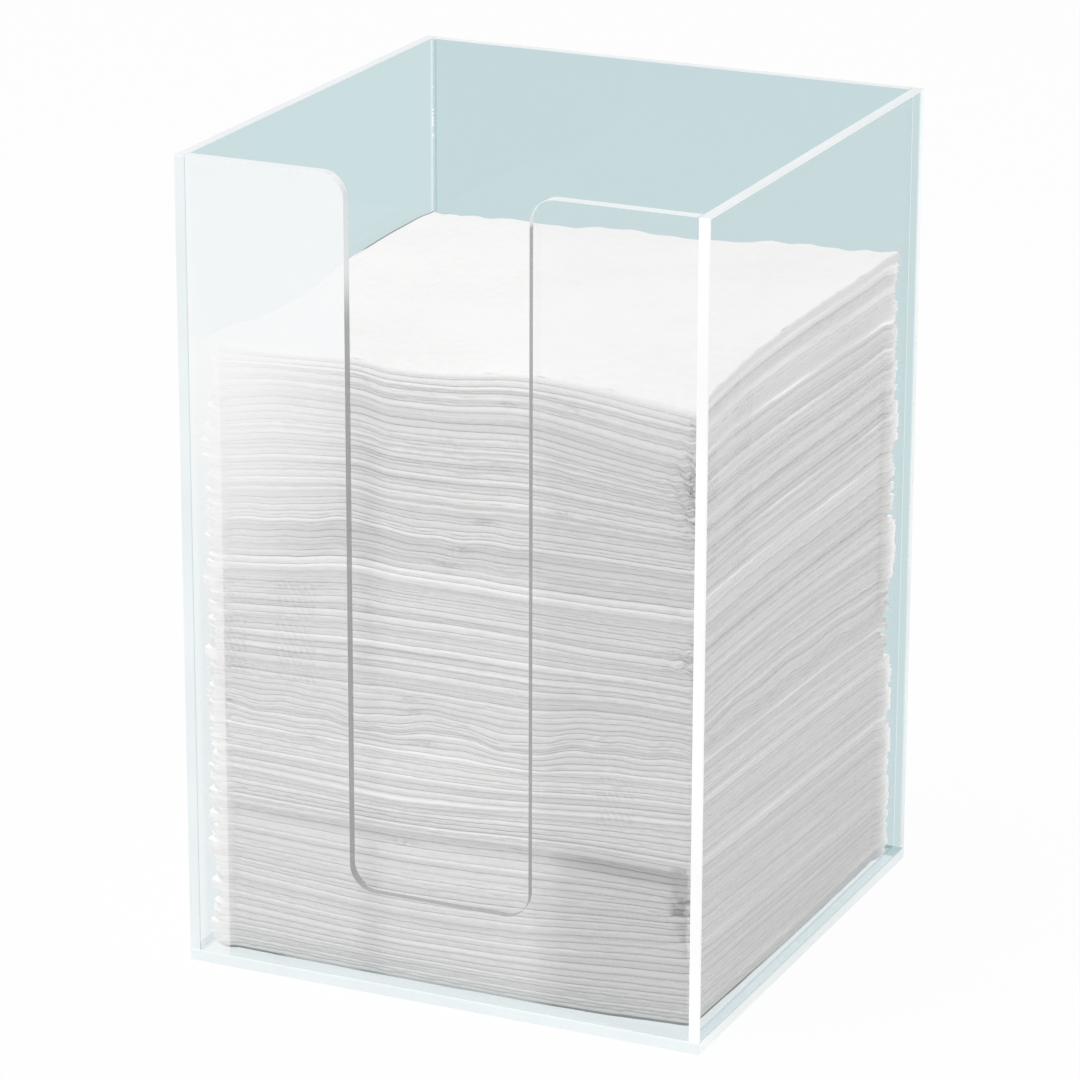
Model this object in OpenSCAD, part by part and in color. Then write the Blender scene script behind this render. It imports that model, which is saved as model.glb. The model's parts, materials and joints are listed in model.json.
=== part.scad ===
// Clear napkin holder: an open box of five cemented sheets with a finger slot, filled with folded napkins.
// Millimetres. The origin is the centre of the footprint on the table, +Z is up and the slot faces -Y.

/* [Box] */
// Thickness of the clear sheet
sheet_t = 3; // [2:0.5:5]
// Height of the box above the table
box_h = 210; // [190:1:260]
// Leg of the cement fillets in the inner corners
cement_leg = 0.8; // [0.4:0.1:1.5]

/* [Slot] */
// Width of the slot in the front panel
slot_w = 48.5; // [30:0.5:90]
// Height of the slot's lower edge above the table
slot_bottom = 27.5; // [15:0.5:80]
// Radius of the slot's lower corners and of the shoulders at its mouth
slot_r = 6.5; // [3:0.5:12]

/* [Napkins] */
// Side of a folded napkin
napkin_w = 127; // [110:1:160]
// Room between the napkins and the two walls they lie against, the front and the right one
near_room = 1; // [1:0.5:6]
// Room between the napkins and the left and back walls
far_room = 6; // [6:0.5:12]
// Height that each napkin adds to the stack
napkin_pitch = 1.63; // [1.3:0.01:2.2]
// Air between a napkin and what lies over or under it
napkin_gap = 0.3; // [0.2:0.05:0.4]
// Depth of the rounded fold at the ends of a napkin
fold_depth = 0.6; // [0.3:0.1:1]
// How far a napkin may lie out of line with its neighbours
napkin_shift = 0.5; // [0:0.1:0.5]
// How far loose leaves stick out at the left and at the back
leaf_length = 2.5; // [0:0.1:2.5]
// How far the top napkin has slipped to the left
top_slip = 2; // [0:0.1:2]

/* [Stack shape] */
// Rise of the top napkin from left to right
swell_h = 3.5; // [0:0.1:5]
// Rise of the top napkin from front to back
tilt_h = 3.5; // [0:0.1:5]
// Depth of the ripples in the rumpled packs
ripple_h = 1.2; // [0:0.1:2]

/* [Hidden] */
// Pairs of napkins in each pack, from the lowest up; the top napkin lies alone over them
pack_counts = [11, 7, 6, 9, 12, 3];
pair_count = len([for (count = pack_counts) for (k = [1:count]) k]);
napkin_count = 2 * pair_count + 1;

SHEETS = ["base_panel", "left_panel", "right_panel", "front_panel", "back_panel"];
SEAMS = ["seam_front_left", "seam_front_right", "seam_back_left", "seam_back_right", "seam_base"];
PAIRS = [for (k = [1:pair_count]) str("napkins_", k < 10 ? "0" : "", k)];

// The bore between the walls fits the napkins, and the box is built round it
bore_w = napkin_w + near_room + far_room;
off_centre = (far_room - near_room) / 2;
box_w = bore_w + 2 * sheet_t;
wall_h = box_h - sheet_t;
overrun = 1;
circle_facets = 64;

// Ripples grow and fade over the stack's height: its share, and the share of the full depth there
ripple_shares = [
    [0, 0], [0.23, 0.1], [0.37, 0.25], [0.45, 1], [0.5, 0.5],
    [0.68, 0.2], [0.75, 0.8], [0.85, 0.3], [1, 0.2]
];
ripples = 2.2;
outline_steps = 12;

// Repeatable scatter of the loose napkins, as shares of the lengths above
shift_x_shares = rands(-1, 1, napkin_count, 11);
shift_y_shares = rands(-1, 1, napkin_count, 23);
leaf_x_shares = rands(0, 1, napkin_count, 37);
leaf_y_shares = rands(0, 1, napkin_count, 41);

clear_colour = [0.79, 0.87, 0.88, 0.4];
cement_colour = [0.93, 0.97, 0.97, 0.7];
paper_colours = [[0.97, 0.97, 0.97], [0.9, 0.9, 0.91]];

// A sheet that stands on the base panel, from one low corner, with its size along X and Y
module wall(x, y, size_x, size_y) {
    color(clear_colour)
        translate([x, y, sheet_t])
            cube([size_x, size_y, wall_h]);
}

module base_panel() {
    color(clear_colour)
        translate([-box_w / 2, -box_w / 2, 0])
            cube([box_w, box_w, sheet_t]);
}

module left_panel() wall(-box_w / 2, -box_w / 2, sheet_t, box_w);

module right_panel() wall(bore_w / 2, -box_w / 2, sheet_t, box_w);

module back_panel() wall(-bore_w / 2, bore_w / 2, bore_w, sheet_t);

// Corner of a square outside the quarter circle round the origin, as for a shoulder or a fillet
module outer_corner(r) {
    difference() {
        square(r);
        circle(r, $fn = circle_facets);
    }
}

// Outline of the slot, seen from the front, with its lower edge at zero
module slot_outline(depth) {
    low_w = slot_w - 2 * slot_r;
    translate([-low_w / 2, 0])
        square([low_w, depth + overrun]);
    translate([-slot_w / 2, slot_r])
        square([slot_w, depth - slot_r + overrun]);
    for (side = [-1, 1])
        translate([side * low_w / 2, slot_r])
            circle(slot_r, $fn = circle_facets);
    for (side = [-1, 1])
        translate([side * (slot_w / 2 + slot_r), depth - slot_r])
            rotate([0, 0, side > 0 ? 90 : 0])
                outer_corner(slot_r);
}

module front_panel() {
    color(clear_colour)
        translate([0, -bore_w / 2, sheet_t])
            rotate([90, 0, 0])
                linear_extrude(sheet_t)
                    difference() {
                        translate([-bore_w / 2, 0])
                            square([bore_w, wall_h]);
                        translate([0, slot_bottom - sheet_t])
                            slot_outline(box_h - slot_bottom);
                    }
}

// Hollow fillet of cement, its corner at the origin and its legs along +X and +Y
module cement_profile() {
    translate([cement_leg, cement_leg])
        rotate([0, 0, 180])
            outer_corner(cement_leg);
}

// Upright seam in the front left inner corner, turned to the one that is asked for
module upright_seam(turn) {
    color(cement_colour)
        rotate([0, 0, turn])
            translate([-bore_w / 2, -bore_w / 2, sheet_t + cement_leg])
                linear_extrude(wall_h - cement_leg)
                    cement_profile();
}

// Seam along the base at the front wall, which is repeated turned at the other walls
module floor_seam(length) {
    translate([-length / 2, -bore_w / 2, sheet_t])
        rotate([90, 0, 90])
            linear_extrude(length)
                cement_profile();
}

module seam_base() {
    color(cement_colour) {
        for (turn = [0, 180])
            rotate([0, 0, turn])
                floor_seam(bore_w);
        for (turn = [90, 270])
            rotate([0, 0, turn])
                floor_seam(bore_w - 2 * cement_leg);
    }
}

// How far face i of the stack is off its plain height at place x
function swell(u) = (1 - cos(180 * u)) / 2;
function ripple(u) = sin(360 * ripples * u);
function face_h(i, x) =
    let (
        share = i / napkin_count,
        u = (x - off_centre) / napkin_w + 1 / 2
    )
    swell_h * pow(share, 2) * swell(u) + ripple_h * lookup(share, ripple_shares) * ripple(u);

// Outline of napkin i seen from the front, from x0 to x1, with a fold at both ends.
// Its inner points stand at the same places in every napkin, so the faces stay the gap apart.
function napkin_outline(i, x0, x1) =
    let (
        first = x0 + fold_depth,
        last = x1 - fold_depth,
        grid = [for (k = [0:outline_steps]) off_centre + (k / outline_steps - 1 / 2) * napkin_w],
        inner = [for (x = grid) if (x > first + fold_depth && x < last - fold_depth) x],
        places = concat([first], inner, [last]),
        low = [for (x = places) [x, face_h(i, x) + napkin_gap]],
        high = [for (x = places) [x, face_h(i + 1, x) + napkin_pitch]],
        end = len(places) - 1,
        left_fold = [x0, (low[0][1] + high[0][1]) / 2],
        right_fold = [x1, (low[end][1] + high[end][1]) / 2]
    )
    concat(low, [right_fold], [for (k = [end:-1:0]) high[k]], [left_fold]);

// One folded napkin of the stack, tilted back a little more than the one under it
module napkin(i, slip = 0) {
    tilt = asin(tilt_h * i / napkin_count / napkin_w);
    shift_x = napkin_shift * shift_x_shares[i] + off_centre - slip;
    shift_y = napkin_shift * shift_y_shares[i] - off_centre;
    x0 = shift_x - napkin_w / 2 - leaf_length * leaf_x_shares[i];
    x1 = shift_x + napkin_w / 2;
    length = napkin_w + leaf_length * leaf_y_shares[i];
    color(paper_colours[i % 2])
        translate([0, shift_y - napkin_w / 2, sheet_t + i * napkin_pitch])
            rotate([tilt, 0, 0])
                translate([0, length, 0])
                    rotate([90, 0, 0])
                        linear_extrude(length)
                            polygon(napkin_outline(i, x0, x1));
}

// Two napkins of the stack, counted from the lowest pair
module napkin_pair(k) {
    napkin(2 * k);
    napkin(2 * k + 1);
}

module top_napkin() napkin(napkin_count - 1, top_slip);

base_panel();
left_panel();
right_panel();
front_panel();
back_panel();
upright_seam(0);  // seam_front_left
upright_seam(90);  // seam_front_right
upright_seam(270);  // seam_back_left
upright_seam(180);  // seam_back_right
seam_base();
for (k = [0:pair_count - 1]) {
    napkin_pair(k);
}
top_napkin();
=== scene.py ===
"""Clear napkin holder: five cemented sheets with a finger slot, filled with quarter-folded napkins.

Laid out as an add-on and run as a script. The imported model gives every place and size; the
operators add the sheets with their polished edges, the cement, each napkin and the studio.
"""

import json
import math
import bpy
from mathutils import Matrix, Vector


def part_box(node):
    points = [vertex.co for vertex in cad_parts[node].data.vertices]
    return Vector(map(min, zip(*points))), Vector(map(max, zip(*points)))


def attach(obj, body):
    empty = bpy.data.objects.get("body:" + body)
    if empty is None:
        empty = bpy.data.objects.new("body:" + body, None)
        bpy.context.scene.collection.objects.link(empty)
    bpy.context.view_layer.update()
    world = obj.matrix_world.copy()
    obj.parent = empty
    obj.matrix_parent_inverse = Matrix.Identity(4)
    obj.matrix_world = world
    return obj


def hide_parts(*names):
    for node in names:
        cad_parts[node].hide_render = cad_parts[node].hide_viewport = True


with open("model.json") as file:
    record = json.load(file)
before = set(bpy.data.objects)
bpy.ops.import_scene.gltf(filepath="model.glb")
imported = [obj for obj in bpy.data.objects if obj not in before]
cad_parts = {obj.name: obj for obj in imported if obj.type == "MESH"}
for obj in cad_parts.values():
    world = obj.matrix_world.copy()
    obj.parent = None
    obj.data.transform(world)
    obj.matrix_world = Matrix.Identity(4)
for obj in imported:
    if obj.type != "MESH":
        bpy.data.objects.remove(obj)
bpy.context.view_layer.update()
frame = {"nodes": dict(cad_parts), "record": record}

from types import SimpleNamespace

import bmesh
import bpy
import numpy as np
from bpy.props import FloatProperty, FloatVectorProperty, IntProperty, PointerProperty
from mathutils import Matrix, Vector

bl_info = {
    "name": "Clear napkin holder",
    "version": (1, 0, 0),
    "blender": (4, 5, 0),
    "location": "View3D > Sidebar > Holder",
    "description": "Builds a clear box of folded napkins round its packed frame",
    "category": "Object",
}

MM = 0.001
# Height in millimetres that a napkin takes in the coordinates of the paper's grain
FLAT_PITCH = 1.66
NODES = frame["nodes"]
BODY_OF = {node: body for body, nodes in frame["record"]["behaviour"]["bodies"].items() for node in nodes}
PAIRS = sorted(node for node in NODES if node.startswith("napkins_"))
SEAMS = sorted(node for node in NODES if node.startswith("seam_"))
SHEETS = ("base", "left", "right", "front", "back")

BASE_LOW, BASE_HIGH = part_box("base_panel")
SHEET_T = BASE_HIGH.z - BASE_LOW.z
INNER_X = BASE_HIGH.x - SHEET_T
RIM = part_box("left_panel")[1].z


# Sizes and colours that a user would change

COLOUR = {"subtype": "COLOR", "min": 0.0, "max": 1.0}


class SheetLook(bpy.types.PropertyGroup):
    """The clear sheets and their edges."""

    edge_round: FloatProperty(
        name="Edge rounding", description="Radius of the flame-polished arrises",
        default=0.35 * MM, min=0.0, unit="LENGTH")
    deep_tint: FloatVectorProperty(
        name="Deep tint", description="Light that the back sheet lets through at one face",
        default=(0.755, 0.84, 0.853), **COLOUR)
    clear_tint: FloatVectorProperty(
        name="Clear tint", description="Light that the front sheet lets through at one face",
        default=(0.989, 0.99, 0.99), **COLOUR)
    side_tint: FloatVectorProperty(
        name="Side tint", description="Light that the right sheet lets through at one face",
        default=(0.985, 0.985, 0.985), **COLOUR)
    left_tint: FloatVectorProperty(
        name="Left tint", description="Light that the left sheet lets through at one face",
        default=(0.782, 0.862, 0.872), **COLOUR)
    joint_tint: FloatVectorProperty(
        name="Joint tint", description="Light that a cemented joint lets through",
        default=(0.97, 0.985, 0.988), **COLOUR)
    far_tint: FloatVectorProperty(
        name="Far end tint", description="Light that the back end of the right sheet lets through",
        default=(0.585, 0.72, 0.737), **COLOUR)
    base_tint: FloatVectorProperty(
        name="Base tint", description="Light that the base lets through at one face",
        default=(0.87, 0.925, 0.935), **COLOUR)
    edge_colour: FloatVectorProperty(
        name="Edge colour", description="Colour of the polished edges",
        default=(0.79, 0.84, 0.848), **COLOUR)
    # Painted light: the right sheet's edges are paler because they face the light
    right_colour: FloatVectorProperty(
        name="Right edge colour", description="Colour of the right sheet's edges, which face the light",
        default=(0.93, 0.935, 0.935), **COLOUR)
    floor_colour: FloatVectorProperty(
        name="Floor edge colour", description="Colour of the base's right edge",
        default=(0.91, 0.945, 0.948), **COLOUR)
    # Painted shade: the dark grey that the slot's edge shows where napkins stand behind it
    slot_shade_colour: FloatVectorProperty(
        name="Slot edge colour", description="Colour of the sawn and polished edge round the slot",
        default=(0.42, 0.425, 0.425), **COLOUR)
    # Painted shade: the upper edges take a darker copy of the edge colour and less glow, as more light
    # falls on them from above
    rim_colour: FloatVectorProperty(
        name="Rim colour", description="Colour of the upper edges",
        default=(0.735, 0.765, 0.78), **COLOUR)
    # Painted light: the polished edges glow with emission, for the light that runs through the sheet
    edge_glow: FloatProperty(
        name="Edge glow", description="Light that leaves a polished edge after running through the sheet",
        default=0.22, min=0.0, max=1.0)
    # Painted reflection: how strongly a white mirror is laid by place over the top of the left wing
    painted_reflection: FloatProperty(
        name="Veil", description="White mirror image over the top of the left wing",
        default=0.885, min=0.0, max=1.0, subtype="FACTOR")


class NapkinLook(bpy.types.PropertyGroup):
    """The folded napkins."""

    paper: FloatVectorProperty(
        name="Paper", description="Colour of the tissue", default=(0.93, 0.925, 0.922), **COLOUR)
    # The colour towards which the painted shade on the folds darkens the paper
    shade: FloatVectorProperty(
        name="Shaded paper", description="Colour of the darkest leaves", default=(0.715, 0.711, 0.709),
        **COLOUR)
    leaf_length: FloatProperty(
        name="Leaf length", description="How far loose leaves reach past the folds beside them",
        default=5.4 * MM, min=0.0, unit="LENGTH")
    gap: FloatProperty(
        name="Gap", description="Air between two napkins", default=0.05 * MM, min=0.0, unit="LENGTH")
    seed: IntProperty(name="Seed", description="Start of the repeatable scatter", default=7, min=0)


class StudioLook(bpy.types.PropertyGroup):
    """The stage, the lamps and the camera."""

    sky: FloatProperty(name="Sky", description="Strength of the white surroundings", default=0.62, min=0.0)
    key: FloatProperty(
        name="Key light", description="Power of the large soft lamp", default=11.9, min=0.0, unit="POWER")
    fill: FloatProperty(
        name="Fill light", description="Power of the soft lamp over the right side", default=1.15, min=0.0,
        unit="POWER")
    camera_at: FloatVectorProperty(
        name="Camera", description="Place of the camera", default=(0.5068, -1.1210, 0.5159),
        subtype="TRANSLATION", unit="LENGTH")
    camera_turn: FloatVectorProperty(
        name="Camera turn", description="Yaw, pitch and roll of the camera",
        default=(math.radians(24.53), math.radians(18.65), math.radians(0.14)), subtype="EULER",
        unit="ROTATION")
    lens: FloatProperty(name="Lens", description="Focal length on a 36 mm sensor", default=170.7, min=1.0)


# Materials


def maths(operation, reflected=False):
    """The method behind an operator, which adds the Math node that the operator stands for."""
    def method(self, other):
        pair = (other, self) if reflected else (self, other)
        return self.finish.node("ShaderNodeMath", {"operation": operation}, dict(enumerate(pair)))
    return method


class Value:
    """A socket that takes part in sums."""

    def __init__(self, finish, socket):
        self.finish = finish
        self.socket = socket

    __add__, __radd__ = maths("ADD"), maths("ADD", True)
    __sub__, __rsub__ = maths("SUBTRACT"), maths("SUBTRACT", True)
    __mul__, __rmul__ = maths("MULTIPLY"), maths("MULTIPLY", True)
    __gt__, __lt__ = maths("GREATER_THAN"), maths("LESS_THAN")
    __pow__ = maths("POWER")


class Finish:
    """The nodes of a material or a world, each added by one call. Colours are given as three values."""

    def __init__(self, name, kind="materials"):
        self.owner = getattr(bpy.data, kind).new(name)
        self.owner.use_nodes = True
        self.tree = self.owner.node_tree
        self.tree.nodes.clear()

    def node(self, kind, settings=None, inputs=None, out=0):
        """Adds a node, with its type, its settings and its sockets' values or links, and gives an output,
        or a list of them where out names several."""
        made = self.tree.nodes.new(kind)
        for key, setting in (settings or {}).items():
            setattr(made, key, setting)
        for key, value in (inputs or {}).items():
            socket = made.inputs[key]
            if isinstance(value, Value):
                self.tree.links.new(value.socket, socket)
            else:
                socket.default_value = (*value, 1.0) if socket.type == "RGBA" else value
        if isinstance(out, tuple):
            return [Value(self, made.outputs[key]) for key in out]
        return Value(self, made.outputs[out]) if made.outputs else None

    def place(self):
        """Object coordinates in metres."""
        return self.node("ShaderNodeTexCoord", out="Object")

    def axes(self, place):
        return self.node("ShaderNodeSeparateXYZ", inputs={"Vector": place}, out=(0, 1, 2))

    def upright(self, place, times):
        """Coordinates with their heights stretched."""
        return self.node("ShaderNodeMapping", inputs={"Vector": place, "Scale": (1.0, 1.0, times)})

    def noise(self, place, scale, detail=2.0, roughness=0.5):
        return self.node("ShaderNodeTexNoise", inputs={
            "Vector": place, "Scale": scale, "Detail": detail, "Roughness": roughness})

    def between(self, value, low, high, out_low=0.0, out_high=1.0, smooth=False):
        """value taken from low..high to out_low..out_high, held there past both ends."""
        return self.node(
            "ShaderNodeMapRange", {"interpolation_type": "SMOOTHSTEP" if smooth else "LINEAR"},
            {"Value": value, "From Min": low, "From Max": high, "To Min": out_low, "To Max": out_high})

    def blend(self, share, a, b):
        """Colour between a and b."""
        return self.node("ShaderNodeMix", {"data_type": "RGBA"}, {0: share, 6: a, 7: b}, out=2)

    def bump(self, height, strength, distance):
        return self.node("ShaderNodeBump", inputs={
            "Height": height, "Strength": strength, "Distance": distance})

    def through(self, tint):
        """Light that goes straight through, tinted."""
        return self.node("ShaderNodeBsdfTransparent", inputs={"Color": tint})

    def gloss(self, colour, roughness):
        return self.node("ShaderNodeBsdfAnisotropic", inputs={"Color": colour, "Roughness": roughness})

    def film(self, colour):
        return self.node("ShaderNodeBsdfDiffuse", inputs={"Color": colour})

    def glowing(self, tone, roughness, glow, **more):
        """A body that also gives off a share of its own colour."""
        return self.node("ShaderNodeBsdfPrincipled", inputs={
            "Base Color": tone, "Roughness": roughness, "Emission Color": tone,
            "Emission Strength": glow, **more})

    def mix(self, share, a, b):
        return self.node("ShaderNodeMixShader", inputs={0: share, 1: a, 2: b})

    def surface(self, shader, output="ShaderNodeOutputMaterial"):
        self.node(output, inputs={"Surface": shader})
        return self.owner


WHITE = (1.0, 1.0, 1.0)
GLAZE = (0.95, 0.97, 0.97)


def clear_finish(name, tint, painted_reflection=0.0, shine=1.0):
    """A clear sheet: tinted light straight through, a mirror of its surroundings that grows at a slant, and
    a breath of smudges. Where the left sheet covers the ends of the others, one face goes untinted. On the
    outer face of the left wing a painted reflection lays a white mirror over the sheet by place, strongly
    above the napkins and faintly in front of them."""
    f = Finish(name)
    place = f.place()
    x, y, z = f.axes(place)
    smudge = f.noise(place, 26.0, 4.0, 0.6)
    facing = f.node("ShaderNodeLayerWeight", inputs={"Blend": 0.5}, out="Facing")
    mirror = shine * (0.035 + 0.8 * facing**5)
    slack = 0.1 * MM
    covered = (y * y > (INNER_X + slack) ** 2) * (x < slack - INNER_X) * (x > -INNER_X - slack)
    body = f.mix(mirror, f.mix(covered, f.through(tint), f.through(WHITE)),
                 f.gloss(WHITE, f.between(smudge, 0.35, 0.75, 0.01, 0.1)))
    sheet = f.mix(f.between(smudge, 0.45, 0.85, 0.0, 0.018), body, f.film((0.95, 0.955, 0.955)))
    if not painted_reflection:
        return f.surface(sheet)
    # Painted reflection: a white mirror whose strength is laid on by place over the outer face of the left
    # wing, strong above the napkins and faint in front of them
    blur = f.between(smudge, 0.35, 0.75, 0.05, 0.15)
    cool, neutral = f.gloss((0.94, 0.96, 0.966), blur), f.gloss((0.97, 0.97, 0.97), blur)
    outer = y < (BASE_LOW.y + 0.3 * MM)
    strip = f.between(x, -58.7 * MM, -58.3 * MM, 0.5, 0.0)
    slope = f.between(z, 88 * MM, 158 * MM, 0.0, 0.78) - f.between(x, -54 * MM, -26 * MM, 0.0, 0.45)
    low = strip + (1 - strip) * f.between(slope, 0.0, 1.0)
    high = f.between(z, 162.5 * MM, 166.5 * MM, smooth=True)
    strength = low + high * (painted_reflection - low)
    across = f.between(x, -26 * MM, 28 * MM, 1.0, 0.0, smooth=True)
    return f.surface(f.mix(outer * strength * across, sheet, f.mix(high, neutral, cool)))


def joint_finish(name, tint):
    """A face that cement has made all but invisible, with a faint film."""
    f = Finish(name)
    cloud = f.noise(f.place(), 60.0, 3.0)
    return f.surface(f.mix(f.between(cloud, 0.35, 0.75, 0.0, 0.03), f.through(tint), f.film(GLAZE)))


def edge_finish(name, colour, glow, slot=False):
    """A polished edge, which glows with painted light for the light that runs inside the sheet, with faint
    saw marks along it. The edge of the slot is painted dark grey where napkins stand behind it, a painted
    shade for what shows through the cut, and turns as pale as the rim over them."""
    f = Finish(name)
    place = f.place()
    marks = f.noise(place, 900.0, 3.0)
    pale = tuple(min(1.0, 1.06 * c) for c in colour)
    tone = f.blend(f.between(f.noise(place, 35.0), 0.3, 0.7), colour, pale)
    if slot:
        x, y, z = f.axes(place)
        # Painted shade: dark grey where the napkins stand behind the cut, turning pale where it rises above
        # them
        left_rise = f.between(z, 172 * MM, 187 * MM, smooth=True) * (x < 0.0)
        right_rise = f.between(z, 202.2 * MM, 203.2 * MM) * (x > 0.0)
        tone = f.blend(left_rise + right_rise, tone, (0.9, 0.93, 0.93))
    # Painted light: the edge glows with a share of its own colour
    body = f.glowing(tone, f.between(marks, 0.3, 0.7, 0.12, 0.3), glow, IOR=1.49,
                     Normal=f.bump(marks, 0.12, 0.05 * MM))
    if slot:
        # The sheet bends light, so only the outer part of the cut shows through its face
        centre = 10 * MM
        at_foot = (z < 28.5 * MM) * (x < centre)
        seen = (2.45 - 0.35 * (x > centre) - 0.75 * at_foot) * MM
        body = f.mix(y - BASE_LOW.y > seen, body, f.through((0.98, 0.985, 0.986)))
    return f.surface(body)


def far_end_finish(name, tint):
    """The end of the right sheet, seen through its outer face: bright along the outer half, where it glows
    with painted light, and as deep as the back sheet along the inner one."""
    f = Finish(name)
    place = f.place()
    cloud = f.noise(place, 60.0, 3.0)
    # Painted light: the outer half glows with its own colour
    shine = f.glowing(f.blend(cloud, (0.86, 0.89, 0.895), (0.92, 0.94, 0.945)),
                      f.between(cloud, 0.3, 0.7, 0.15, 0.3), 0.3)
    outer = f.between(f.axes(place)[0], INNER_X + 1.6 * MM, INNER_X + 2.2 * MM, 0.0, 0.8)
    return f.surface(f.mix(outer, f.through(tint), shine))


def cement_finish():
    """Set cement: a clear bead with a faint white bloom and small bubbles, strongest at the back left and
    all but gone at the back right. The bead glows a little and its bubbles are painted white: painted
    light."""
    f = Finish("set_cement")
    place = f.place()
    cells = f.node("ShaderNodeTexVoronoi", inputs={"Vector": place, "Scale": 900.0}, out="Distance")
    bubbles = f.between(cells, 0.08, 0.2, 1.0, 0.0)
    # Painted light: the bead glows a little, and its bubbles are painted white
    body = f.glowing(f.blend(bubbles, (0.9, 0.95, 0.97), WHITE), f.between(cells, 0.0, 0.5, 0.2, 0.4), 0.3,
                     Normal=f.bump(cells, 0.1, 0.05 * MM))
    x, y, _ = f.axes(place)
    haze = f.between(f.noise(place, 120.0, 3.0), 0.3, 0.7, 0.02, 0.07)
    bloom = haze + 0.1 * (x < 0.0) * (y > 0.0) + 0.05 * bubbles
    fill = bloom * (1 - 0.8 * (x > 0.0) * (y > 0.0))
    return f.surface(f.mix(fill, f.through(WHITE), body))


def bubble_finish():
    """Air bubbles, painted bright against the cement with a glow: painted highlights."""
    f = Finish("air_bubbles")
    cloud = f.noise(f.place(), 400.0)
    return f.surface(f.glowing(f.blend(cloud, (0.9, 0.97, 0.98), WHITE),
                               f.between(cloud, 0.3, 0.7, 0.03, 0.12), 0.25))


# Where coin-edge embossing crosses the folds: low and high corner in metres
EMBOSSED = (
    ((-0.0625, -0.070, 0.078), (-0.0545, -0.060, 0.104)),
    ((-0.0465, -0.070, 0.078), (-0.0355, -0.060, 0.104)),
    ((0.0405, -0.070, 0.0445), (0.0505, -0.060, 0.0665)),
    ((0.0360, -0.070, 0.0060), (0.0640, -0.060, 0.0380)),
    ((0.0600, -0.0425, 0.112), (0.0700, -0.0320, 0.162)),
    ((0.0600, -0.0610, 0.118), (0.0700, -0.0530, 0.152)),
)


def paper_finish(look):
    """Soft white tissue: crossing fibres, a slow change of shade from leaf to leaf, and rows of small
    embossed dots where the pressed border of a napkin meets its folds. The shade from leaf to leaf is
    painted light and shade carried by the leaf_shade attribute, crumpled paper and the dots are painted
    darker, and the paper glows a little, which is painted light too."""
    f = Finish("napkin_tissue")
    places = f.axes(f.place())
    flat = f.node("ShaderNodeAttribute", {"attribute_name": "flat_place"}, out="Vector")
    fibre = f.noise(f.upright(flat, 2.5), 1500.0, 3.0, 0.6)
    crepe = f.noise(f.upright(flat, 6.0), 260.0, 2.0)
    cloud = f.noise(f.upright(flat, 16.0), 22.0, 3.0)
    streak = f.noise(f.upright(flat, 26.0), 25.0, 2.0)
    mottle = f.noise(f.upright(flat, 1.4), 420.0, 3.0, 0.65)
    leaf = f.node("ShaderNodeAttribute", {"attribute_name": "leaf_shade"}, out="Fac")
    crumple = f.node("ShaderNodeAttribute", {"attribute_name": "crumple"}, out="Fac")
    cells = f.node("ShaderNodeTexVoronoi", {"feature": "DISTANCE_TO_EDGE"},
                   {"Vector": f.upright(flat, 1.6), "Scale": 430.0})
    crease = f.between(cells, 0.0, 0.3) * crumple
    # The rows of dots run across the folds and step from leaf to leaf
    x, y, _ = places
    across = (x + y) * (2 * math.pi / (1.8 * MM))
    turn = across + f.axes(flat)[2] * (2.6 / (FLAT_PITCH * MM)) + 5.0 * cloud
    notch = f.node("ShaderNodeMath", {"operation": "SINE"}, {0: turn})
    mask = 0.0
    for low, high in EMBOSSED:
        inside = 1.0
        for value, least, most in zip(places, low, high):
            inside = inside * (value > least) * (value < most)
        mask = mask + inside
    dots = f.between(notch, -0.1, 0.6) * mask * f.between(streak, 0.35, 0.6)
    grain = 0.3 * cloud + 0.4 * streak + 0.1 * fibre + 0.5 * mottle - 0.63
    # Painted shade: leaf_shade darkens the folds, crumpled paper is painted darker along its creases and
    # each embossed dot a little darker
    share = 0.8 * leaf + grain + 0.3 * dots + 0.5 * (crumple - 1.4 * crease)
    tone = f.blend(f.between(share, 0.0, 1.0), look.paper, look.shade)
    # Painted shadow: past 1.3, leaf_shade paints dark grey lines
    tone = f.blend(f.between(leaf, 1.3, 2.0), tone, (0.22, 0.22, 0.22))
    # Painted light: all the paper glows faintly, and single leaves, where leaf_shade is below zero, glow
    # white as if light came through them
    glow = f.blend(f.between(leaf, -1.0, 0.0), WHITE, (0.19, 0.19, 0.19))
    height = 0.6 * fibre + 0.8 * crepe - 2.2 * dots + 3.0 * crease
    return f.surface(f.node("ShaderNodeBsdfPrincipled", inputs={
        "Base Color": tone, "Roughness": f.between(fibre, 0.3, 0.7, 0.85, 1.0),
        "Specular IOR Level": 0.15, "Sheen Weight": 0.1, "Sheen Roughness": 0.6,
        "Emission Color": glow, "Emission Strength": 0.33,
        "Normal": f.bump(height, 0.4, 0.12 * MM)}))


# Meshes


def add_piece(name, bm, materials, body, replaced=(), smooth=False):
    """Puts a finished bmesh in the scene as a piece that rides on a body and stands for its nodes."""
    mesh = bpy.data.meshes.new(name)
    bm.to_mesh(mesh)
    bm.free()
    return add_mesh(name, mesh, materials, body, replaced, smooth)


def add_mesh(name, mesh, materials, body, replaced=(), smooth=False):
    for material in materials:
        mesh.materials.append(material)
    mesh.polygons.foreach_set("use_smooth", [smooth] * len(mesh.polygons))
    piece = bpy.data.objects.new(name, mesh)
    bpy.context.scene.collection.objects.link(piece)
    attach(piece, body)
    if replaced:
        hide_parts(*replaced)
    return piece


# What the faces of a sheet are, in the order of its materials
CLEAR, EDGE, SLOT_EDGE, JOINT, RIM_EDGE, FAR_END, FLOOR_EDGE = range(7)
THIN_AXIS = {"base": 2, "left": 0, "right": 0, "front": 1, "back": 1}
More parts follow.
